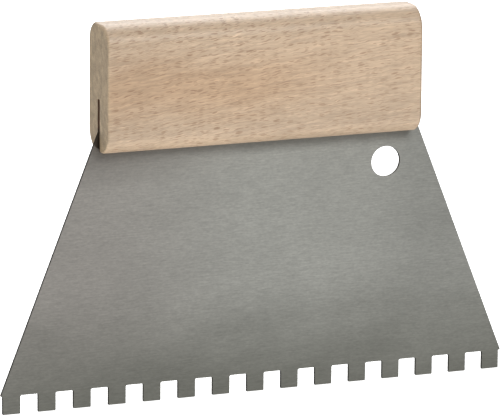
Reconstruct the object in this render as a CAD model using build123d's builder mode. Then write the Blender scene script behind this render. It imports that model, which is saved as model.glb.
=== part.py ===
"""Notched adhesive spreader: a steel sheet blade glued into the kerf of a wooden block handle.

Frame, in millimetres: X runs along the working edge, Y goes through the sheet's thickness and
Z goes up from the tooth tips to the handle. The origin is in the middle of the tooth tips.
"""

import os
from math import radians, tan

from build123d import *

# Working edge
tooth_count = 15
tooth_width = 6.0
notch_width = 6.0
notch_depth = 6.0
notch_corner_radius = 0.5
tooth_tip_radius = 0.25

# Steel sheet
sheet_thickness = 1.0
end_tooth_shoulder = 0.75
blade_side_angle = 21.7
blade_reach = 83.0
hang_hole_diameter = 10.0
hang_hole_side_distance = 45.3
hang_hole_drop = 10.2

# Handle block
handle_length = 108.6
handle_height = 41.4
handle_thickness = 17.0
top_back_radius = 5.2
top_flat_width = 4.8
lip_flat_width = 1.1
end_edge_break = 0.4

# Kerf and the adhesive in it
kerf_depth = 17.0
adhesive_film = 0.3
adhesive_setback = 1.5

# Worked out from the sizes above
tooth_pitch = tooth_width + notch_width
tooth_row_width = tooth_count * tooth_pitch - notch_width
side_run = tan(radians(blade_side_angle))
kerf_width = sheet_thickness + 2 * adhesive_film
kerf_top = blade_reach + kerf_depth
tang_top = kerf_top - adhesive_film
handle_top = blade_reach + handle_height
top_front_radius = handle_thickness - top_flat_width - top_back_radius
lip_edge_radius = (handle_thickness - kerf_width) / 2 - lip_flat_width
adhesive_bottom = blade_reach + adhesive_setback
hang_hole_height = blade_reach - hang_hole_drop


def half_width(height):
    """Half of the blade's width at a height above the tooth tips."""
    return tooth_row_width / 2 + end_tooth_shoulder - (height - notch_depth) * side_run


# The adhesive stops short of the tang's sides and of the handle's ends
adhesive_length = 2 * (min(half_width(tang_top), handle_length / 2) - adhesive_setback)

os.makedirs("parts", exist_ok=True)

# Blade: a trapezoid that narrows upwards, with a row of square teeth below it and a hang hole
with BuildPart() as blade:
    with BuildSketch(Plane.XZ) as outline:
        with BuildLine():
            Polyline(
                (-half_width(notch_depth), notch_depth),
                (half_width(notch_depth), notch_depth),
                (half_width(tang_top), tang_top),
                (-half_width(tang_top), tang_top),
                close=True,
            )
        make_face()
        with Locations((0, notch_depth / 2)):
            with GridLocations(tooth_pitch, 0, tooth_count, 1):
                Rectangle(tooth_width, notch_depth)
        with Locations((hang_hole_side_distance, hang_hole_height)):
            Circle(hang_hole_diameter / 2, mode=Mode.SUBTRACT)
    extrude(amount=sheet_thickness / 2, both=True)
    upright_edges = blade.edges().filter_by(Axis.Y)
    root_edges = upright_edges.filter_by_position(Axis.Z, notch_depth, notch_depth)
    inner_root_edges = root_edges.sort_by(Axis.X)[2:-2]
    fillet(inner_root_edges, notch_corner_radius)
    tip_edges = blade.edges().filter_by(Axis.Y).filter_by_position(Axis.Z, 0, 0)
    fillet(tip_edges, tooth_tip_radius)
blade.part.label = "blade"
export_step(blade.part, "parts/blade.step")

# Handle: one straight block with rounded long edges, fuller in front than behind along the top,
# sawn open from below along its whole length
with BuildPart() as handle:
    with BuildSketch(Plane.YZ.offset(-handle_length / 2)) as section:
        with Locations((0, (blade_reach + handle_top) / 2)):
            Rectangle(handle_thickness, handle_height)
        fillet(section.vertices().group_by(Axis.Y)[-1].sort_by(Axis.X)[0], top_front_radius)
        fillet(section.vertices().group_by(Axis.Y)[-1].sort_by(Axis.X)[-1], top_back_radius)
        fillet(section.vertices().group_by(Axis.Y)[0], lip_edge_radius)
    extrude(amount=handle_length)
    chamfer(handle.faces().filter_by(Axis.X).edges(), end_edge_break)
    with BuildSketch(Plane.YZ.offset(-handle_length / 2)):
        with Locations((0, (blade_reach + kerf_top) / 2)):
            Rectangle(kerf_width, kerf_depth)
    extrude(amount=handle_length, mode=Mode.SUBTRACT)
handle.part.label = "handle"
export_step(handle.part, "parts/handle.step")

# Adhesive: fills the kerf on both sides of the tang and above it, set back from the open edges
with BuildPart() as kerf_adhesive:
    with BuildSketch(Plane.XZ):
        with Locations((0, (adhesive_bottom + kerf_top) / 2)):
            Rectangle(adhesive_length, kerf_top - adhesive_bottom)
    extrude(amount=kerf_width / 2, both=True)
    with BuildSketch(Plane.XZ):
        with Locations((0, (adhesive_bottom + tang_top) / 2)):
            Rectangle(adhesive_length, tang_top - adhesive_bottom)
    extrude(amount=sheet_thickness / 2, both=True, mode=Mode.SUBTRACT)
kerf_adhesive.part.label = "kerf_adhesive"
export_step(kerf_adhesive.part, "parts/kerf_adhesive.step")
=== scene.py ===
"""Notched adhesive spreader: a punched steel blade glued into the kerf of a beech block.

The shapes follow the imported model, in metres: X along the working edge, Y through the sheet and
Z up from the tooth tips. Shapes are worked out in millimetres and scaled as they become meshes.
"""

from math import radians

import bmesh
import bpy
import numpy as np
from bpy.props import (
    FloatProperty,
    FloatVectorProperty,
    IntProperty,
    PointerProperty,
)
from bpy.types import Operator, Panel, PropertyGroup
from mathutils import Matrix, Vector
from mathutils.geometry import delaunay_2d_cdt


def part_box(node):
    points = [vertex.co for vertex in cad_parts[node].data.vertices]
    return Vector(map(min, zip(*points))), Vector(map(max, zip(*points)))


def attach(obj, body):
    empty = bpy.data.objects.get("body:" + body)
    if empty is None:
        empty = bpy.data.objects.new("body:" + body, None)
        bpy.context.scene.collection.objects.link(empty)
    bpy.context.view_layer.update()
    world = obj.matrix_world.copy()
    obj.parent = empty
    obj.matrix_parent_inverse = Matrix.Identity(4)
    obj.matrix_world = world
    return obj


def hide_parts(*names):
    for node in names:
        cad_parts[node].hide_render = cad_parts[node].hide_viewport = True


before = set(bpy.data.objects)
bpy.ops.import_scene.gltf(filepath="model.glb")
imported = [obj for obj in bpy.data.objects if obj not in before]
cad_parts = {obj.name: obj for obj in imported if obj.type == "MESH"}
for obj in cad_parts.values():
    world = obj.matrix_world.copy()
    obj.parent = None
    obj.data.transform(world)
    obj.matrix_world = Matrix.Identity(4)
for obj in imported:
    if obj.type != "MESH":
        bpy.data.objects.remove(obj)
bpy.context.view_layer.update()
BLADE_LOW, BLADE_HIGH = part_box("blade")
BLOCK_LOW, BLOCK_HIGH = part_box("handle")
GLUE_LOW, GLUE_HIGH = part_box("kerf_adhesive")

bl_info = {
    "name": "Notched Adhesive Spreader",
    "version": (1, 0, 0),
    "blender": (4, 5, 0),
    "location": "View3D > Sidebar > Spreader",
    "description": "Builds a square-notched steel spreader with a beech block handle",
    "category": "Add Mesh",
}

MM = 0.001


# ---------------------------------------------------------------- sizes and finishes


def length(name, description, metres):
    """A length in metres with its name, its description and its default."""
    return FloatProperty(
        name=name, description=description, default=metres, min=0.0, precision=5, unit="LENGTH"
    )


def colour(name, description, red, green, blue):
    """A linear colour with its name, its description and its default."""
    return FloatVectorProperty(
        name=name,
        description=description,
        default=(red, green, blue),
        size=3,
        min=0.0,
        max=1.0,
        subtype="COLOR",
    )


def share(name, description, default, limit=1.0):
    """A plain number from nought up to a limit, with its name, its description and its default."""
    return FloatProperty(name=name, description=description, default=default, min=0.0, max=limit)


class BladeSizes(PropertyGroup):
    """Sizes and finish of the punched steel blade."""

    tooth_count: IntProperty(
        name="Teeth", description="Number of square teeth", default=15, min=2
    )
    tooth_width: length("Tooth width", "Width of one tooth", 6.0 * MM)
    notch_width: length("Notch width", "Gap between two teeth", 6.0 * MM)
    notch_depth: length("Notch depth", "Height of a tooth", 6.0 * MM)
    root_radius: length("Notch corner", "Radius in the upper corners of a notch", 0.5 * MM)
    tip_radius: length("Tooth tip", "Radius on the corners of a tooth tip", 0.25 * MM)
    shoulder: length("Shoulder", "Step outside each end tooth", 0.75 * MM)
    side_angle: FloatProperty(
        name="Side angle",
        description="Lean of the blade's two sides from upright",
        default=radians(21.7),
        subtype="ANGLE",
    )
    thickness: length("Sheet", "Thickness of the sheet", BLADE_HIGH.y - BLADE_LOW.y)
    tang_top: length("Tang top", "Height of the tang's top edge", BLADE_HIGH.z)
    hole_diameter: length("Hang hole", "Diameter of the hang hole", 10.0 * MM)
    hole_side: length("Hole from the middle", "Hole's distance from the middle", 45.3 * MM)
    hole_height: length("Hole height", "Hole's height above the tooth tips", 72.8 * MM)
    punched_roll: length("Rolled edge", "Rounding that the punch leaves in front", 0.16 * MM)
    burr_break: length("Broken burr", "Rounding of the deburred edge behind", 0.08 * MM)
    steel: colour("Steel", "Colour of the clean sheet", 0.655, 0.658, 0.614)
    # painted shade: the sheet's left side is drawn darker
    left_shade_steel: colour(
        "Left shade steel", "Colour of the sheet's duller left side", 0.580, 0.556, 0.520
    )
    # painted shade: the sheet is drawn darker towards the working edge
    low_shade_steel: colour("Low shade steel", "Colour near the working edge", 0.345, 0.347, 0.308)
    # painted shade on the punched walls
    cut_wall_shade: colour("Cut wall shade", "Colour of the punched walls", 0.10, 0.10, 0.09)
    # painted shadow of the block below the joint
    joint_shadow_colour: colour("Joint shadow", "Colour of the stain along the joint", 0.070, 0.050, 0.032)
    polish: share("Roughness", "Roughness of the sheet", 0.62)


class BlockSizes(PropertyGroup):
    """Sizes and finish of the beech block."""

    span: length("Length", "Length of the block", BLOCK_HIGH.x - BLOCK_LOW.x)
    thickness: length("Thickness", "Thickness of the block", BLOCK_HIGH.y - BLOCK_LOW.y)
    foot: length("Foot", "Height of the block's underside", BLOCK_LOW.z)
    crown: length("Crown", "Height of the block's top", BLOCK_HIGH.z)
    top_back: length("Top rounding behind", "Rounding along the back of the top", 5.2 * MM)
    top_flat: length("Top flat", "Flat left between the two top roundings", 4.8 * MM)
    lip_flat: length("Lip flat", "Flat left beside the kerf", 1.1 * MM)
    kerf_width: length("Kerf width", "Width of the saw kerf", GLUE_HIGH.y - GLUE_LOW.y)
    kerf_top: length("Kerf top", "Height of the kerf's closed end", GLUE_HIGH.z)
    kerf_edge: length("Kerf edge", "Rounding along the kerf's mouth", 0.15 * MM)
    end_round: length("End rounding", "Rounding of the edges at both ends", 0.9 * MM)
    beech: colour("Beech", "Colour of the clean wood", 0.490, 0.361, 0.246)
    warm_beech: colour("Warm beech", "Colour of the warmer band", 0.452, 0.304, 0.186)
    fleck: colour("Flecks", "Colour of the short ray flecks", 0.262, 0.150, 0.080)
    end_grain: colour("End grain", "Colour of the sawn ends", 0.350, 0.262, 0.160)
    # glue stain in the kerf, partly painted shade of the narrow slot
    kerf_glue_and_shade: colour("Kerf glue and shade", "Colour of the glue-stained kerf", 0.100, 0.046, 0.020)


class GlueSizes(PropertyGroup):
    """Sizes and finish of the adhesive in the kerf."""

    film: length("Film", "Thickness of the film beside the tang", 0.3 * MM)
    edge_wave: length("Lower edge", "How far the lower edge wanders", 1.2 * MM)
    cured: colour("Cured adhesive", "Colour of the cured adhesive", 0.10, 0.058, 0.028)


class StageSizes(PropertyGroup):
    """Floor, daylight and lamps."""

    floor_width: length("Floor", "Width of the square floor", 12.0)
    floor_tone: colour("Floor colour", "Colour of the floor", 0.90, 0.90, 0.90)
    daylight: share("Daylight", "Strength of the even light from all round", 0.375, 10.0)
    floor_glow: share("Floor glow", "Light given by the floor board itself", 0.9, 10.0)
    lamps: share("Lamps", "Strength of the soft lamps together", 1.0, 10.0)


# ---------------------------------------------------------------- shapes


def unit(vectors):
    """Each vector divided by its own length."""
    return vectors / np.linalg.norm(vectors, axis=-1, keepdims=True)


def rounded_outline(corners, radii, inset, steps, lead, smallest=0.02):
    """A closed outline with rounded corners, drawn smaller by an inset on each side.

    Corners run anticlockwise. Each side moves inwards by its inset, and a corner is where its two
    moved sides cross. A corner's radius shrinks by the smaller of its two insets where the outline
    turns left and grows by it where it turns right. Its arc touches both sides at the radius over
    the tangent of half the corner's angle, and is walked by turning the first radius evenly into
    the last one. A lead point on each side keeps the straight runs flat, and no radius is under
    the smallest.
    """
    before = unit(corners - np.roll(corners, 1, axis=-2))
    after = np.roll(before, -1, axis=-2)
    out_before = np.stack((before[..., 1], -before[..., 0]), axis=-1)
    out_after = np.stack((after[..., 1], -after[..., 0]), axis=-1)
    inset_before = np.roll(inset, 1, axis=-1)
    lean = (out_before * out_after).sum(-1)
    spread = 1.0 - lean**2
    along_before = (inset * lean - inset_before) / spread
    along_after = (inset_before * lean - inset) / spread
    moved = corners + along_before[..., None] * out_before + along_after[..., None] * out_after
    turn = before[..., 0] * after[..., 1] - before[..., 1] * after[..., 0]
    radius = np.maximum(radii - np.sign(turn) * np.minimum(inset_before, inset), smallest)
    half_angle = np.arccos(np.clip(-(before * after).sum(-1), -1.0, 1.0)) / 2
    reach = radius / np.tan(half_angle)
    bisector = unit(after - before)
    centre = moved + bisector * (radius / np.sin(half_angle))[..., None]
    first = unit(moved - before * reach[..., None] - centre)
    last = unit(moved + after * reach[..., None] - centre)
    sweep = (np.pi - 2 * half_angle)[..., None]
    t = np.linspace(0.0, 1.0, steps)
    start_share = (np.sin((1 - t) * sweep) / np.sin(sweep))[..., None]
    end_share = (np.sin(t * sweep) / np.sin(sweep))[..., None]
    spokes = start_share * first[..., None, :] + end_share * last[..., None, :]
    arcs = centre[..., None, :] + radius[..., None, None] * spokes
    lead_in = (moved - before * (reach + lead)[..., None])[..., None, :]
    lead_out = (moved + after * (reach + lead)[..., None])[..., None, :]
    points = np.concatenate((lead_in, arcs, lead_out), axis=-2)
    return points.reshape(*points.shape[:-3], -1, 2)


def quarter_round(radius, steps):
    """Insets and depths of a quarter circle: the radius times one minus sine or cosine."""
    angle = np.linspace(0.0, np.pi / 2, steps)
    return radius * (1 - np.sin(angle)), radius * (1 - np.cos(angle))


def skin(ring_count, ring_length, first=0):
    """Four-sided faces between each closed ring of points and the next one."""
    ring = first + np.arange(ring_count - 1)[:, None] * ring_length
    step = np.arange(ring_length)[None, :]
    after = (step + 1) % ring_length
    above = ring + ring_length
    return np.stack((ring + step, ring + after, above + after, above + step), -1).reshape(-1, 4)


def fill(loops, firsts):
    """Triangles that fill the flat area inside the first loop and outside the others."""
    counts = [len(loop) for loop in loops]
    starts = np.concatenate(([0], np.cumsum(counts)[:-1]))
    edges = np.concatenate(
        [
            start + np.stack((np.arange(n), (np.arange(n) + 1) % n), -1)
            for start, n in zip(starts, counts)
        ]
    )
    points = np.concatenate(loops)
    made = delaunay_2d_cdt(points.tolist(), edges.tolist(), [], 1, 1e-6)
    if len(made[0]) != len(points):
        raise RuntimeError("an outline crosses itself, so its flat side can't be filled")
    triangles = np.array([made[3][i][0] for face in made[2] for i in face]).reshape(-1, 3)
    in_hole = (triangles >= counts[0]).all(-1)
    ids = np.concatenate([first + np.arange(n) for first, n in zip(firsts, counts)])
    return ids[triangles[~in_hole]]


def carried_section(along, section):
    """Points and faces of a section for each place along X, with both ends filled."""
    points = np.empty((*section.shape[:2], 3))
    points[..., 0] = along[:, None]
    points[..., 1:] = section
    count = section.shape[1]
    last = (len(along) - 1) * count
    faces = [skin(len(along), count), fill((section[0],), (0,)), fill((section[-1],), (last,))]
    return points.reshape(-1, 3), faces


def build_piece(name, points, faces, material, cad_node, marks=(), sharp=35.0):
    """Makes a closed mesh from millimetre points, and sets it in the frame for its CAD node.

    Marks are names and amounts, one for each point, that the finish reads. Edges that turn by more
    than the sharp angle in degrees stay crisp.
    """
    mesh = bpy.data.meshes.new(name)
    mesh.from_pydata((points * MM).tolist(), [], [f.tolist() for group in faces for f in group])
    for mark, amounts in marks:
        layer = mesh.attributes.new(mark, "FLOAT", "POINT")
        layer.data.foreach_set("value", amounts.astype(np.float32))
    work = bmesh.new()
    work.from_mesh(mesh)
    bmesh.ops.recalc_face_normals(work, faces=work.faces)
    open_edges = sum(not edge.is_manifold for edge in work.edges)
    work.to_mesh(mesh)
    work.free()
    if open_edges:
        raise RuntimeError(f"{name} has {open_edges} open edges")
    mesh.shade_smooth()
    mesh.set_sharp_from_angle(angle=radians(sharp))
    piece = bpy.data.objects.new(name, mesh)
    bpy.context.scene.collection.objects.link(piece)
    mesh.materials.append(material)
    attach(piece, "root")
    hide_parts(cad_node)
    return piece


# ---------------------------------------------------------------- finishes


def put(tree, kind, settings=(), **sockets):
    """Adds a node, sets what it is told, and links or sets its sockets.

    A socket is given by its name, with _ for a space, or by its number, as in i0 and i1.
    """
    made = tree.nodes.new("ShaderNode" + kind)
    for key, value in dict(settings).items():
        setattr(made, key, value)
    for key, value in sockets.items():
        numbered = key[0] == "i" and key[1:].isdigit()
        socket = made.inputs[int(key[1:]) if numbered else key.replace("_", " ")]
        if isinstance(value, bpy.types.NodeSocket):
            tree.links.new(value, socket)
        else:
            socket.default_value = value
    return made


def new_finish(name):
    """An empty material with its surface shader, its tree and its Object coordinates."""
    material = bpy.data.materials.new(name)
    material.use_nodes = True
    tree = material.node_tree
    tree.nodes.clear()
    shader = tree.nodes.new("ShaderNodeBsdfPrincipled")
    output = tree.nodes.new("ShaderNodeOutputMaterial")
    tree.links.new(shader.outputs[0], output.inputs[0])
    place = tree.nodes.new("ShaderNodeTexCoord").outputs["Object"]
    return material, tree, shader, place


def surface(tree, shader, base, rough, relief, strength, depth):
    """Gives the shader its colour, its roughness and a relief of a depth in millimetres."""
    bump = put(tree, "Bump", Strength=strength, Distance=depth * MM, Height=relief).outputs[0]
    tree.links.new(base, shader.inputs["Base Color"])
    tree.links.new(rough, shader.inputs["Roughness"])
    tree.links.new(bump, shader.inputs["Normal"])


def rgba(values):
    """A colour with full cover."""
    return (*values, 1.0)


def split(tree, place):
    """The X, Y and Z of a place."""
    return put(tree, "SeparateXYZ", i0=place).outputs


def mark_on(tree, name):
    """The amount from nought to one that a piece's mesh holds under a name."""
    return put(tree, "Attribute", {"attribute_name": name}).outputs["Fac"]


def stretched(tree, place, size, turn=(0.0, 0.0, 0.0)):
    """Coordinates whose unit is size millimetres along each turned axis."""
    scale = tuple(s * MM for s in size)
    return put(
        tree, "Mapping", {"vector_type": "TEXTURE"}, Vector=place, Rotation=turn, Scale=scale
    ).outputs[0]


def noise(tree, place, size, detail=2.0, turn=(0.0, 0.0, 0.0), roughness=0.5):
    """Smooth noise with features of size millimetres, as a number near a half."""
    return put(
        tree,
        "TexNoise",
        Vector=stretched(tree, place, size, turn),
        Scale=1.0,
        Detail=detail,
        Roughness=roughness,
    ).outputs[0]


def cells(tree, place, size, shift=0.0):
    """Voronoi cells of size millimetres: the distance from each cell's heart, and its own colour."""
    moved = stretched(tree, place, size)
    if shift:
        moved = put(tree, "VectorMath", {"operation": "ADD"}, i0=moved, i1=(shift,) * 3).outputs[0]
    made = put(tree, "TexVoronoi", {"feature": "F1"}, Vector=moved, Scale=1.0, Randomness=1.0)
    return made.outputs["Distance"], made.outputs["Color"]


def span(tree, value, low, high, to_low=0.0, to_high=1.0, smooth=True):
    """The value carried from one range to another and held at both ends."""
    kind = "SMOOTHSTEP" if smooth else "LINEAR"
    return put(
        tree,
        "MapRange",
        {"interpolation_type": kind},
        i0=value,
        i1=low,
        i2=high,
        i3=to_low,
        i4=to_high,
    ).outputs[0]


def between(tree, place, start, end, at_start=0.0, at_end=1.0, smooth=True):
    """A number that goes from one value to another between two places in millimetres."""
    return span(tree, place, start * MM, end * MM, at_start, at_end, smooth)


def vary(tree, pattern, contrast, low=0.3, high=0.7, smooth=False):
    """A pattern's low to high as a factor from one minus to one plus the contrast."""
    return span(tree, pattern, low, high, 1.0 - contrast, 1.0 + contrast, smooth)


def maths(tree, operation, *values):
    """One arithmetic step on numbers or sockets."""
    return put(
        tree, "Math", {"operation": operation}, **{f"i{n}": v for n, v in enumerate(values)}
    ).outputs[0]


def product(tree, first, *others):
    """All the values multiplied together."""
    for other in others:
        first = maths(tree, "MULTIPLY", first, other)
    return first


def total(tree, first, *others):
    """All the values added up."""
    for other in others:
        first = maths(tree, "ADD", first, other)
    return first


def most(tree, first, *others):
    """The largest of the values."""
    for other in others:
        first = maths(tree, "MAXIMUM", first, other)
    return first


def less(tree, value, taken):
    """The value with another taken away."""
    return maths(tree, "SUBTRACT", value, taken)


def scaled(tree, value, factor, start):
    """The value times a factor, added to a start."""
    return maths(tree, "MULTIPLY_ADD", value, factor, start)


def blend(tree, amount, first, second, kind="MIX"):
    """Two colours mixed by an amount."""
    node = tree.nodes.new("ShaderNodeMix")
    node.data_type = "RGBA"
    node.blend_type = kind
    for index, value in ((0, amount), (6, first), (7, second)):
        if isinstance(value, bpy.types.NodeSocket):
            tree.links.new(value, node.inputs[index])
        else:
            node.inputs[index].default_value = value
    return node.outputs[2]


def shade(tree, base, tone):
    """The colour made darker or lighter by a plain factor."""
    grey = put(tree, "CombineColor", i0=tone, i1=tone, i2=tone).outputs[0]
    return blend(tree, 1.0, base, grey, "MULTIPLY")


# Painted shadow of the block on the sheet, in millimetres
SHADOW_TOP = 84.0
SHADOW_WANDER = 2.0
PAST_BLOCK = 54.0


def painted_joint_shadow(tree, place, axes):
    """How far the block's painted shadow lies on the sheet: the most of four parts.

    Below is a thin band under the block, and a faint one hangs further down at the left. The corners
    that stick out past the block are dark all over, more so close to it, and a fine dark line runs
    just under the block's foot. All four are painted shadow. Smooth noise makes their edges wander.
    """
    shadow_wobble = noise(tree, place, (7.0, 7.0, 3.0), detail=3.0)
    joint = scaled(tree, shadow_wobble, SHADOW_WANDER * MM, axes["Z"])
    from_middle = maths(tree, "ABSOLUTE", axes["X"])
    past_block = most(tree, less(tree, from_middle, PAST_BLOCK * MM), 0.0)
    below = maths(tree, "POWER", between(tree, joint, 78.8, SHADOW_TOP, smooth=False), 1.25)
    below = product(tree, below, between(tree, from_middle, 52.0, 56.0, 0.44, 0.1))
    long_shadow = between(tree, joint, 71.0, SHADOW_TOP, smooth=False)
    long_shadow = product(tree, long_shadow, between(tree, axes["X"], -52.0, 2.0, 0.34, 0.0))
    corner = scaled(tree, past_block, -0.8, joint)
    tang = between(tree, corner, SHADOW_TOP, 85.2, 0.0, 0.97)
    tang = product(tree, tang, between(tree, past_block, 0.0, 3.0, 1.0, 0.72))
    seam = between(tree, axes["Z"], 82.5, 83.2, 0.0, 0.7)
    seam = product(tree, seam, between(tree, past_block, 0.0, 0.8, 1.0, 0.0))
    return most(tree, below, long_shadow, tang, seam)


def steel_finish(sizes):
    """Cold-rolled sheet: short level grain, faint clouds and painted shade near the working edge.

    The colour goes over to a painted shade at the left and to a darker painted shade below. Grain, a
    finer speckle and clouds vary its tone, and the right side is darker above the teeth. Last come
    the painted shade on the punched walls and the painted shadow of the block.
    """
    material, tree, shader, place = new_finish("rolled_steel")
    axes = split(tree, place)
    grain = noise(tree, place, (5.0, 5.0, 0.42), detail=3.0)
    fine = noise(tree, place, (1.0, 1.0, 0.40), detail=2.0)
    clouds = noise(tree, place, (34.0, 34.0, 16.0), detail=3.0)
    # painted shade: the colour goes darker towards the left end
    left_shade = between(tree, axes["X"], -66.0, 8.0, 1.0, 0.0)
    base = blend(tree, left_shade, rgba(sizes.steel), rgba(sizes.left_shade_steel))
    # painted shade: darker towards the teeth, its edge wandering with the clouds
    low_shade = between(tree, scaled(tree, clouds, 16.0 * MM, axes["Z"]), 2.0, 52.0, 1.0, 0.0)
    base = blend(tree, low_shade, base, rgba(sizes.low_shade_steel))
    tone = product(
        tree, vary(tree, grain, 0.085), vary(tree, fine, 0.07), vary(tree, clouds, 0.035, smooth=True)
    )
    right_side = between(tree, axes["X"], 24.0, 70.0, 0.0, -0.16)
    above_teeth = between(tree, axes["Z"], 16.0, 44.0)
    tone = scaled(tree, tone, product(tree, right_side, above_teeth), tone)
    cut = mark_on(tree, "cut_edge")
    # painted shade on the punched walls
    base = blend(tree, cut, shade(tree, base, tone), rgba(sizes.cut_wall_shade))
    # painted shadow of the block on the sheet
    base = blend(tree, painted_joint_shadow(tree, place, axes), base, rgba(sizes.joint_shadow_colour))
    rough = scaled(tree, cut, 0.12, scaled(tree, grain, 0.16, sizes.polish - 0.08))
    relief = total(tree, product(tree, grain, 0.7), product(tree, fine, 0.3))
    shader.inputs["Metallic"].default_value = 1.0
    surface(tree, shader, base, rough, relief, strength=0.35, depth=0.03)
    return material


# Run of the beech's fibres: their rise along the block, and their bow by the distance squared
GRAIN_RISE = 0.11
GRAIN_BOW = -0.45
GRAIN_WANDER = 4.0
GRAIN_RIPPLE = 1.6

# Growth rings: the pith's place behind and below the block, and the rings' spacing
PITH_BEHIND = 42.0
PITH_HEIGHT = 40.0
RING_WANDER = 7.0
RING_SPACING = 3.1

# Flecks: the distances from a cell's heart at which an oval begins and is full
FLECK_EDGE = 0.34
FLECK_HEART = 0.24


def along_the_grain(tree, place, axes):
    """Coordinates that follow the fibres, and their height.

    A fibre rises along the block in a bow, and wanders by a wide noise. Its height is what is left
    of Z when that is taken away, moved a little by a finer noise, its ripple.
    """
    bow = product(tree, axes["X"], axes["X"], GRAIN_BOW)
    rise = scaled(tree, axes["X"], GRAIN_RISE, bow)
    wander = noise(tree, place, (45.0, 20.0, 14.0), detail=1.0)
    level = less(tree, axes["Z"], scaled(tree, wander, GRAIN_WANDER * MM, rise))
    straight = put(tree, "CombineXYZ", i0=axes["X"], i1=axes["Y"], i2=level).outputs[0]
    ripple = noise(tree, straight, (6.0, 4.0, 2.0), detail=2.0)
    level = scaled(tree, ripple, GRAIN_RIPPLE * MM, level)
    return put(tree, "CombineXYZ", i0=axes["X"], i1=axes["Y"], i2=level).outputs[0], level


def flecks(tree, grained, size, shift, left_out):
    """An oval at the heart of each long cell, left out of the share of cells with low numbers."""
    distance, own_colour = cells(tree, grained, size, shift)
    oval = span(tree, distance, FLECK_EDGE, FLECK_HEART)
    number = put(tree, "SeparateColor", i0=own_colour).outputs[0]
    return product(tree, oval, span(tree, number, left_out, left_out + 0.3, smooth=False))


def late_wood(tree, place, axes, level):
    """Growth rings: the cube of how far the warped distance from the pith has run through a ring."""
    behind = total(tree, axes["Y"], -PITH_BEHIND * MM)
    above = total(tree, level, -PITH_HEIGHT * MM)
    distance = maths(tree, "SQRT", scaled(tree, behind, behind, product(tree, above, above)))
    warp = noise(tree, place, (60.0, 6.0, 11.0), detail=2.0)
    distance = scaled(tree, warp, RING_WANDER * MM, distance)
    year = maths(tree, "FRACT", maths(tree, "DIVIDE", distance, RING_SPACING * MM))
    return maths(tree, "POWER", year, 3.0)


def warm_band(tree, axes, level, mottle):
    """One soft warm band along the fibres, low at the left end and faint past the middle."""
    middle = between(tree, axes["X"], -48.0, -6.0, -109.0 * MM, -102.0 * MM)
    away = scaled(tree, mottle, 9.0 * MM, maths(tree, "ABSOLUTE", total(tree, level, middle)))
    band = between(tree, away, 6.0, 19.0, 1.0, 0.0)
    return product(tree, band, between(tree, axes["X"], -10.0, 36.0, 1.0, 0.15))


def end_tones(tree, place, axes, ends):
    """What is added to the tone at the two ends: blotches on them, and the tone of their arrises.

    An arris is where the ends' amount is near a half: four times the amount times one minus it. It
    has a painted highlight at the front of the left end, and painted shade elsewhere.
    """
    blotch = noise(
        tree, place, (3.0, 1.9, 3.6), detail=4.0, turn=(radians(-14.0), 0.0, 0.0), roughness=0.65
    )
    blotch = product(tree, span(tree, blotch, 0.3, 0.7, -0.21, 0.21), ends)
    arris = product(tree, ends, less(tree, 1.0, ends), 4.0)
    # painted shade on the arrises at the right end and behind, painted highlight at the front of the left
    # end
    arris_shade_side = most(tree, between(tree, axes["X"], -1.0, 1.0), between(tree, axes["Y"], 1.0, 6.0))
    return total(tree, blotch, product(tree, arris, span(tree, arris_shade_side, 0.0, 1.0, 0.14, -0.24)))


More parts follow.
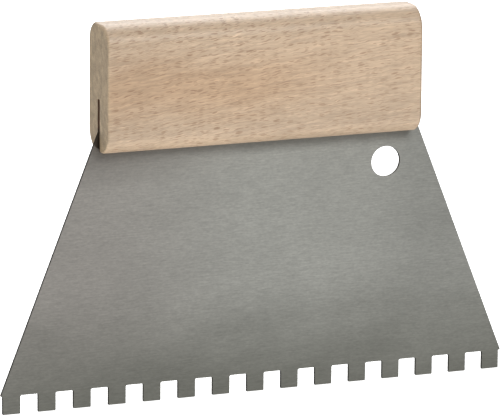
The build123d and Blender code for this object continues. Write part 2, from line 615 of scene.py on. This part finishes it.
def beech_finish(sizes):
    """Planed beech: fine fibres, a warm band, faint rings and short flecks that rise along the grain.

    Threads, fibres, mottle, rings, a darker left end and a darker foot multiply into one tone for the
    colour. The ends have blotches, painted highlight and shade on their arrises, and pores of their
    own, and the kerf's walls take glue stain and painted shade.
    """
    material, tree, shader, place = new_finish("planed_beech")
    axes = split(tree, place)
    grained, level = along_the_grain(tree, place, axes)
    ends = mark_on(tree, "end_grain")
    long_sides = less(tree, 1.0, ends)
    threads = noise(tree, grained, (18.0, 1.0, 0.40), detail=2.0)
    fibres = noise(tree, grained, (4.0, 0.8, 0.28), detail=2.0)
    mottle = noise(tree, grained, (16.0, 7.0, 3.5), detail=3.0)
    long_flecks = flecks(tree, grained, (4.2, 1.1, 0.42), 0.0, 0.25)
    short_flecks = flecks(tree, grained, (2.6, 0.9, 0.36), 0.4, 0.25)
    # paler flecks: painted highlight
    highlight_flecks = flecks(tree, grained, (3.6, 1.2, 0.42), 0.8, 0.40)
    dark_flecks = most(tree, long_flecks, product(tree, short_flecks, 0.7))
    band = warm_band(tree, axes, level, mottle)
    base = blend(tree, band, rgba(sizes.beech), rgba(sizes.warm_beech))
    base = blend(tree, ends, base, rgba(sizes.end_grain))
    # threads, fibres and mottle, and rings that show more on the ends
    tone = product(tree, vary(tree, threads, 0.14, 0.25, 0.75), vary(tree, fibres, 0.14, 0.25, 0.75))
    tone = product(tree, tone, vary(tree, mottle, 0.04, smooth=True))
    ring_depth = scaled(tree, ends, 0.08, 0.03)
    rings = product(tree, late_wood(tree, place, axes, level), ring_depth)
    tone = product(tree, tone, less(tree, 1.0, rings))
    # a little darker at the left end, and along the foot at the right
    left = between(tree, axes["X"], -56.0, -12.0, 0.92, 1.0)
    foot = between(tree, axes["Z"], 87.0, 100.0, -0.11, 0.0)
    foot = product(tree, foot, between(tree, axes["X"], -30.0, 20.0))
    tone = product(tree, tone, total(tree, left, foot))
    tone = total(tree, tone, end_tones(tree, place, axes, ends))
    # painted highlight on the paler flecks
    tone = total(tree, tone, product(tree, highlight_flecks, 0.16, long_sides))
    base = shade(tree, base, tone)
    # the dark flecks are strongest at the left
    fleck_share = product(tree, dark_flecks, between(tree, axes["X"], -15.0, 30.0, 0.86, 0.66))
    base = blend(tree, product(tree, fleck_share, long_sides), base, rgba(sizes.fleck))
    pores = cells(tree, grained, (4.0, 0.32, 0.32))[0]
    pores = product(tree, span(tree, pores, 0.34, 0.2), ends)
    base = blend(tree, product(tree, pores, 0.3), base, rgba(sizes.fleck))
    # glue stain and painted shade on the kerf's walls
    base = blend(tree, mark_on(tree, "kerf_wall"), base, rgba(sizes.kerf_glue_and_shade))
    rough = scaled(tree, ends, 0.12, scaled(tree, threads, 0.14, 0.34))
    relief = less(tree, threads, product(tree, most(tree, dark_flecks, pores), 0.9))
    shader.inputs["Specular IOR Level"].default_value = 0.75
    surface(tree, shader, base, rough, relief, strength=0.5, depth=0.05)
    return material


def glue_finish(sizes):
    """Cured contact adhesive: dull amber brown with cloudy patches and a slightly pitted face."""
    material, tree, shader, place = new_finish("cured_glue")
    clouds = noise(tree, place, (5.0, 5.0, 4.0), detail=3.0)
    pits = noise(tree, place, (0.4, 0.4, 0.4), detail=2.0)
    dark = tuple(0.45 * c for c in sizes.cured)
    base = blend(tree, span(tree, clouds, 0.35, 0.65), rgba(dark), rgba(sizes.cured))
    surface(tree, shader, base, scaled(tree, pits, 0.25, 0.45), pits, strength=0.5, depth=0.06)
    return material


def floor_finish(sizes):
    """Matt pale board with a very faint mottle."""
    material, tree, shader, place = new_finish("pale_board")
    mottle = noise(tree, place, (180.0, 180.0, 180.0), detail=2.0)
    pale = tuple(0.985 * c for c in sizes.floor_tone)
    base = blend(tree, span(tree, mottle, 0.35, 0.65), rgba(pale), rgba(sizes.floor_tone))
    shader.inputs["Roughness"].default_value = 0.9
    shader.inputs["Specular IOR Level"].default_value = 0.1
    shader.inputs["Emission Color"].default_value = rgba(sizes.floor_tone)
    shader.inputs["Emission Strength"].default_value = sizes.floor_glow
    tree.links.new(base, shader.inputs["Base Color"])
    return material


# ---------------------------------------------------------------- operators


# Meshing of the blade: steps round its edges, its corners and its hole, and runs in millimetres
ROLL_STEPS = 6
BURR_STEPS = 4
CORNER_STEPS = 5
CORNER_LEAD = 0.05
HOLE_STEPS = 96
FACE_MARGIN = 0.04

# How much of the painted shade on the punched wall is left at the end of the broken burr
BURR_WALL_SHADE = 0.6


def toothed_outline(sizes):
    """Corners and radii of the blade's outline, anticlockwise from the left tooth, in millimetres.

    A tooth is four corners, repeated at the pitch of a tooth and a notch. Half the blade's width
    falls from the shoulders to the tang's top by the height times the tangent of the side angle.
    """
    wide, gap, deep = sizes.tooth_width / MM, sizes.notch_width / MM, sizes.notch_depth / MM
    count, top = sizes.tooth_count, sizes.tang_top / MM
    row_half = (count * (wide + gap) - gap) / 2
    foot_half = row_half + sizes.shoulder / MM
    top_half = foot_half - (top - deep) * np.tan(sizes.side_angle)
    left = -row_half + np.arange(count) * (wide + gap)
    across = np.stack((left, left, left + wide, left + wide), -1)
    upright = np.tile([deep, 0.0, 0.0, deep], (count, 1))
    teeth = np.stack((across, upright), -1).reshape(-1, 2)
    body = [[foot_half, deep], [top_half, top], [-top_half, top], [-foot_half, deep]]
    root, tip = sizes.root_radius / MM, sizes.tip_radius / MM
    radii = np.concatenate((np.tile([root, tip, tip, root], count), [tip, root, root, tip]))
    # the outer corners of the row meet the shoulders, not a notch
    radii[[0, 4 * count - 1]] = tip
    return np.concatenate((teeth, body)), radii


def punched_edge(sizes):
    """Inset, depth and share of painted wall shade along the edge profile, from the front to the back.

    A flat margin, the rounding rolled by the punch, the upright wall, the broken burr, and a flat
    margin again. The depth is counted from the front face.
    """
    whole = sizes.thickness / MM
    roll_inset, roll_depth = quarter_round(sizes.punched_roll / MM, ROLL_STEPS)
    burr_inset, burr_depth = quarter_round(sizes.burr_break / MM, BURR_STEPS)
    front, back = [roll_inset[0] + FACE_MARGIN], [burr_inset[0] + FACE_MARGIN]
    inset = np.concatenate((front, roll_inset, burr_inset[::-1], back))
    depth = np.concatenate(([0.0], roll_depth, whole - burr_depth[::-1], [whole]))
    rolled, broken = np.linspace(0.0, 1.0, ROLL_STEPS), np.linspace(1.0, BURR_WALL_SHADE, BURR_STEPS)
    return inset, depth, np.concatenate(([0.0], rolled, broken, [0.0]))


def stood_up(loops, y):
    """Flat loops set upright, each at its own Y."""
    points = np.empty((*loops.shape[:2], 3))
    points[..., 0], points[..., 1], points[..., 2] = loops[..., 0], y[:, None], loops[..., 1]
    return points.reshape(-1, 3)


class SPREADER_OT_cut_blade(Operator):
    """Punch the blade: the toothed outline and the hang hole, each carried round by its edge profile"""

    bl_idname = "spreader.cut_blade"
    bl_label = "Cut the blade"

    def execute(self, context):
        sizes = context.scene.spreader_blade
        corners, radii = toothed_outline(sizes)
        inset, depth, cut = punched_edge(sizes)
        y = depth - depth[-1] / 2
        rings = len(inset)
        sides = np.repeat(inset[:, None], len(corners), axis=1)
        outline = rounded_outline(corners[None], radii[None], sides, CORNER_STEPS, CORNER_LEAD)
        # the hole: a circle about its centre, wider by the inset in each ring
        angle = np.linspace(0.0, 2 * np.pi, HOLE_STEPS, endpoint=False)
        circle = np.stack((np.cos(angle), np.sin(angle)), -1)
        centre = np.array([sizes.hole_side / MM, sizes.hole_height / MM])
        hole = centre + (sizes.hole_diameter / MM / 2 + inset)[:, None, None] * circle
        around, through = outline.shape[1], hole.shape[1]
        hole_front = rings * around
        hole_back = hole_front + (rings - 1) * through
        faces = [
            skin(rings, around),
            skin(rings, through, hole_front),
            fill((outline[0], hole[0]), (0, hole_front)),
            fill((outline[-1], hole[-1]), (hole_front - around, hole_back)),
        ]
        build_piece(
            "punched_blade",
            np.concatenate((stood_up(outline, y), stood_up(hole, y))),
            faces,
            steel_finish(sizes),
            "blade",
            [("cut_edge", np.concatenate((np.repeat(cut, around), np.repeat(cut, through))))],
        )
        return {"FINISHED"}


# Meshing of the block: steps round its ends and along it, and runs in millimetres
END_STEPS = 6
END_MARGIN = 0.08
END_LEAD = 0.3
FIRST_STATION = 3.0
STATIONS = 35
SECTION_STEPS = 14
SECTION_LEAD = 0.12
KERF_CORNER = 0.1

# Share of the end rounding on each side of the section, from the front lip round to the front:
# eased most along the top and least along the upright edges, and hardly at all inside the kerf
END_SHARES = (0.8, 0.12, 0.12, 0.12, 0.8, 0.3, 1.25, 0.6)


def block_section(sizes):
    """Corners and radii of the kerfed section, anticlockwise from the front foot, in millimetres.

    The lips' rounding is what the kerf and a small flat leave of half the thickness. The front top
    rounding is what the top's flat and its back rounding leave of the whole.
    """
    half, kerf = sizes.thickness / MM / 2, sizes.kerf_width / MM / 2
    foot, crown, kerf_top = sizes.foot / MM, sizes.crown / MM, sizes.kerf_top / MM
    lip, edge = half - kerf - sizes.lip_flat / MM, sizes.kerf_edge / MM
    top_back = sizes.top_back / MM
    top_front = 2 * half - sizes.top_flat / MM - top_back
    front = [[-half, foot], [-kerf, foot], [-kerf, kerf_top]]
    back = [[kerf, kerf_top], [kerf, foot], [half, foot]]
    corners = np.array([*front, *back, [half, crown], [-half, crown]])
    return corners, np.array([lip, edge, KERF_CORNER, KERF_CORNER, edge, lip, top_back, top_front])


class SPREADER_OT_shape_block(Operator):
    """Shape the beech block: its kerfed section carried along the grain, drawn smaller round both ends"""

    bl_idname = "spreader.shape_block"
    bl_label = "Shape the block"

    def execute(self, context):
        sizes = context.scene.spreader_block
        corners, radii = block_section(sizes)
        end_inset, end_depth = quarter_round(sizes.end_round / MM, END_STEPS)
        end_inset = np.concatenate(([end_inset[0] + END_MARGIN], end_inset, [0.0]))
        end_depth = np.concatenate(([0.0], end_depth, [end_depth[-1] + END_LEAD]))
        end_grain = np.concatenate(([1.0], np.linspace(1.0, 0.0, END_STEPS), [0.0]))
        half_span = sizes.span / MM / 2
        inner = half_span - FIRST_STATION
        middle = np.linspace(-inner, inner, STATIONS)
        plain = np.zeros(STATIONS)
        along = np.concatenate((end_depth - half_span, middle, half_span - end_depth[::-1]))
        inset = np.concatenate((end_inset, plain, end_inset[::-1]))
        end_grain = np.concatenate((end_grain, plain, end_grain[::-1]))
        section = rounded_outline(
            corners[None], radii[None], inset[:, None] * END_SHARES, SECTION_STEPS, SECTION_LEAD
        )
        points, faces = carried_section(along, section)
        # glue stain and painted shade from the kerf's mouth inwards; the two flat ends keep their own
        # colour
        around = section.shape[1]
        corner = around // len(corners)
        mouth = np.linspace(0.0, 1.0, corner)
        kerf_wall = np.zeros((len(along), around))
        kerf_wall[1:-1, corner : 5 * corner] = np.concatenate((mouth, np.ones(2 * corner), mouth[::-1]))
        build_piece(
            "beech_block",
            points,
            faces,
            beech_finish(sizes),
            "handle",
            [("end_grain", np.repeat(end_grain, around)), ("kerf_wall", kerf_wall.ravel())],
        )
        return {"FINISHED"}


# Meshing of the adhesive: steps along it and round its corners, and its radii in millimetres
GLUE_STATIONS = 97
GLUE_STEPS = 5
GLUE_LEAD = 0.02
GLUE_LIP = 0.12
GLUE_CORNER = 0.05


class SPREADER_OT_fill_kerf(Operator):
    """Fill the kerf: a channel of adhesive over the tang, whose lower edges wander in two waves"""

    bl_idname = "spreader.fill_kerf"
    bl_label = "Fill the kerf"

    def execute(self, context):
        sizes = context.scene.spreader_glue
        film, wave = sizes.film / MM, sizes.edge_wave / MM
        half, inner = GLUE_HIGH.y / MM, GLUE_HIGH.y / MM - film
        low, high = GLUE_LOW.z / MM, GLUE_HIGH.z / MM
        along = np.linspace(GLUE_LOW.x / MM, GLUE_HIGH.x / MM, GLUE_STATIONS)
        # lower edges: the lowest height and a share of the wave, half of it fixed and half in sines
        front = low + wave * (0.5 + 0.3 * np.sin(along / 5.3) + 0.2 * np.sin(along / 1.9 + 1.0))
        back = low + wave * (0.5 + 0.3 * np.sin(along / 4.1 + 2.0) + 0.2 * np.sin(along / 2.3))
        roof, crown = np.full_like(along, high - film), np.full_like(along, high)
        across = np.array([-half, -inner, -inner, inner, inner, half, half, -half])
        across = np.broadcast_to(across, (GLUE_STATIONS, len(across)))
        upright = np.stack((front, front, roof, roof, back, back, crown, crown), -1)
        lip, corner = [GLUE_LIP] * 2, [GLUE_CORNER] * 2
        section = rounded_outline(
            np.stack((across, upright), -1),
            np.array([lip + corner + lip + corner]),
            np.zeros_like(across),
            GLUE_STEPS,
            GLUE_LEAD,
        )
        points, faces = carried_section(along, section)
        build_piece("kerf_glue", points, faces, glue_finish(sizes), "kerf_adhesive")
        return {"FINISHED"}


# Soft square lamps: name, place, aimed at, width, watts, colour
LAMPS = (
    ("key_softbox", (0.324, -1.30, 1.107), (0.0, 0.0, 0.06), 0.6, 9.5, (1.0, 0.99, 0.97)),
    ("top_softbox", (0.0, 0.35, 1.70), (0.0, 0.0, 0.1), 1.3, 8.0, (1.0, 1.0, 1.0)),
    ("back_softbox", (0.35, 1.34, 1.34), (0.0, 0.0, 0.1), 1.8, 30.0, (1.0, 1.0, 1.0)),
)

# Camera: bearing to the left of square-on, height, tilt, distance, aim and lens
VIEW_LEFT = radians(22.646)
VIEW_UP = radians(12.466)
VIEW_TILT = radians(-0.436)
VIEW_DISTANCE = 1.64098
VIEW_AIM = (-0.002137, 0.0, 0.060835)
LENS = 366.99
SENSOR = 36.0

# The board lies this far under the tooth tips, so that the two don't flicker
FLOOR_GAP = 0.02


def lay_floor(context, sizes):
    """Lays the square board. It throws light up at the wood like a light table.

    Glossy rays don't see it, so the steel doesn't mirror it, and it casts no shadow.
    """
    reach = sizes.floor_width / 2
    corners = np.array([[-reach, -reach], [reach, -reach], [reach, reach], [-reach, reach]])
    mesh = bpy.data.meshes.new("floor")
    mesh.from_pydata([(x, y, -FLOOR_GAP * MM) for x, y in corners.tolist()], [], [(0, 1, 2, 3)])
    floor = bpy.data.objects.new("floor", mesh)
    mesh.materials.append(floor_finish(sizes))
    context.scene.collection.objects.link(floor)
    floor.visible_glossy = floor.visible_shadow = False


def light_up(context, sizes):
    """Hangs the soft lamps, each turned towards its aim, and sets the even daylight."""
    for name, place, aim, width, watts, tint in LAMPS:
        lamp = bpy.data.lights.new(name, "AREA")
        lamp.shape, lamp.size = "SQUARE", width
        lamp.energy, lamp.color = watts * sizes.lamps, tint
        holder = bpy.data.objects.new(name, lamp)
        holder.location = place
        holder.visible_camera = False
        holder.rotation_euler = (Vector(aim) - Vector(place)).to_track_quat("-Z", "Y").to_euler()
        context.scene.collection.objects.link(holder)
    world = bpy.data.worlds.new("daylight")
    world.use_nodes = True
    sky = world.node_tree.nodes["Background"]
    sky.inputs["Color"].default_value = (1.0, 1.0, 1.0, 1.0)
    sky.inputs["Strength"].default_value = sizes.daylight
    context.scene.world = world


def aim_camera(context):
    """Sets the camera at its bearing, height and distance from the aim, with its small tilt."""
    back = Vector(
        (
            -np.sin(VIEW_LEFT) * np.cos(VIEW_UP),
            -np.cos(VIEW_LEFT) * np.cos(VIEW_UP),
            np.sin(VIEW_UP),
        )
    )
    level = Vector((np.cos(VIEW_LEFT), -np.sin(VIEW_LEFT), 0.0))
    above = back.cross(level)
    right = np.cos(VIEW_TILT) * level - np.sin(VIEW_TILT) * above
    up = np.sin(VIEW_TILT) * level + np.cos(VIEW_TILT) * above
    camera = bpy.data.objects.new("camera", bpy.data.cameras.new("camera"))
    camera.data.lens, camera.data.sensor_width = LENS, SENSOR
    turn = Matrix((right, up, back)).transposed().to_4x4()
    camera.matrix_world = Matrix.Translation(Vector(VIEW_AIM) + back * VIEW_DISTANCE) @ turn
    context.scene.collection.objects.link(camera)
    context.scene.camera = camera


class SPREADER_OT_set_stage(Operator):
    """Set the stage: pale floor, even daylight, soft lamps and the camera"""

    bl_idname = "spreader.set_stage"
    bl_label = "Set the stage"

    def execute(self, context):
        sizes = context.scene.spreader_stage
        lay_floor(context, sizes)
        light_up(context, sizes)
        aim_camera(context)
        context.scene.view_settings.view_transform = "Standard"
        return {"FINISHED"}


class SPREADER_PT_bench(Panel):
    """Lists the sizes, the finishes and the steps that build the spreader."""

    bl_label = "Notched Spreader"
    bl_idname = "SPREADER_PT_bench"
    bl_space_type = "VIEW_3D"
    bl_region_type = "UI"
    bl_category = "Spreader"

    def draw(self, context):
        for step, settings in STEPS:
            box = self.layout.box()
            group = getattr(context.scene, settings)
            for key in group.bl_rna.properties.keys():
                if key not in ("rna_type", "name"):
                    box.prop(group, key)
            box.operator(step)


STEPS = (
    ("spreader.cut_blade", "spreader_blade"),
    ("spreader.shape_block", "spreader_block"),
    ("spreader.fill_kerf", "spreader_glue"),
    ("spreader.set_stage", "spreader_stage"),
)
GROUPS = (
    ("spreader_blade", BladeSizes),
    ("spreader_block", BlockSizes),
    ("spreader_glue", GlueSizes),
    ("spreader_stage", StageSizes),
)
CLASSES = (
    SPREADER_OT_cut_blade,
    SPREADER_OT_shape_block,
    SPREADER_OT_fill_kerf,
    SPREADER_OT_set_stage,
    SPREADER_PT_bench,
)


def register():
    """Registers the property groups, the operators and the panel."""
    for name, group in GROUPS:
        bpy.utils.register_class(group)
        setattr(bpy.types.Scene, name, PointerProperty(type=group))
    for made in CLASSES:
        bpy.utils.register_class(made)


def unregister():
    """Takes them all away again, last first."""
    for made in reversed(CLASSES):
        bpy.utils.unregister_class(made)
    for name, group in reversed(GROUPS):
        delattr(bpy.types.Scene, name)
        bpy.utils.unregister_class(group)


def main():
    """Registers the add-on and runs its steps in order."""
    register()
    bpy.ops.spreader.cut_blade()
    bpy.ops.spreader.shape_block()
    bpy.ops.spreader.fill_kerf()
    bpy.ops.spreader.set_stage()


if __name__ == "__main__":
    main()
